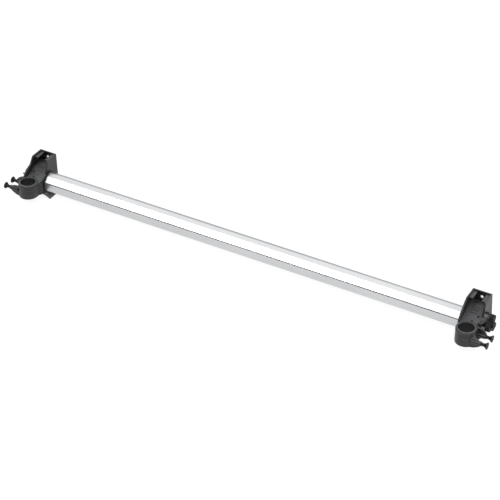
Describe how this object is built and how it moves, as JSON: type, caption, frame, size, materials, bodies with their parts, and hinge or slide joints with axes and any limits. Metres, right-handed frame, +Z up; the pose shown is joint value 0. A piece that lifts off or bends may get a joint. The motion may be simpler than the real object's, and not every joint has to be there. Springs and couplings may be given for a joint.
{
  "type": "bed cargo bar",
  "caption": "Aluminium cargo bar for a truck bed with a moulded end bracket at each side, post cups, hook studs, a knob-driven thrust foot and a paddle-locked sliding end.",
  "frame": {"origin": "on the beam's axis at mid-length", "axes": "+X along the beam towards the bracket with the knob, +Y towards the brackets' back walls, +Z up"},
  "size_m": [1.4512, 0.1284, 0.1031],
  "materials": {
    "anodised_aluminium": "satin clear anodised extrusion",
    "moulded_black": "fine moulded texture",
    "liner_grey": "smooth low-friction plastic",
    "bush_grey": "smooth, polished by wear on the lip",
    "stud_black": "satin",
    "knob_black": "soft-touch, grip grooves on the lobes",
    "paddle_grey": "satin",
    "plated_steel": "zinc plated",
    "spring_steel": "oiled",
    "brass": "turned",
    "rubber": "matt"
  },
  "bodies": {
    "beam": {"bar_extrusion": "anodised_aluminium", "left_bar_plug": "moulded_black", "right_bar_plug": "moulded_black", "bar_nut_plate": "plated_steel", "right_bar_screws": "plated_steel", "right_housing": "moulded_black", "right_socket_liner": "liner_grey", "right_cup_bush": "bush_grey", "right_front_stud": "stud_black", "right_rear_stud": "stud_black", "right_bolt_bush": "plated_steel", "knob_clip": "spring_steel", "spindle_guide": "brass"},
    "knob": {"adjuster_knob": "knob_black", "knob_nut": "brass"},
    "thrust": {"thrust_spindle": "plated_steel", "thrust_foot": "rubber"},
    "left_end": {"left_housing": "moulded_black", "left_socket_liner": "liner_grey", "left_cup_bush": "bush_grey", "left_front_stud": "stud_black", "left_rear_stud": "stud_black", "left_bolt_bush": "plated_steel", "lever_pin": "plated_steel", "lever_spring": "spring_steel"},
    "paddle": {"paddle_lever": "paddle_grey", "pawl_pad": "rubber"}
  },
  "joints": [
    {"name": "knob_turn", "type": "hinge", "parent": "beam", "child": "knob", "pos_m": [0.697, -0.012, 0.013], "axis": [-1, 0, 0], "range_deg": [0, 1080]},
    {"name": "foot_slide", "type": "slide", "parent": "beam", "child": "thrust", "axis": [1, 0, 0], "range_m": [0, 0.0091]},
    {"name": "bed_width_slide", "type": "slide", "parent": "beam", "child": "left_end", "axis": [-1, 0, 0], "range_m": [0, 0.025]},
    {"name": "paddle_squeeze", "type": "hinge", "parent": "left_end", "child": "paddle", "pos_m": [-0.6294, 0, -0.0288], "axis": [0, -1, 0], "range_deg": [0, 22], "stiffness_Nm_per_rad": 0.05, "springref_deg": -28.65}
  ],
  "couplings": [
    {"joint": "foot_slide", "follows": "knob_turn", "m_per_rad": 0.00047746}
  ]
}
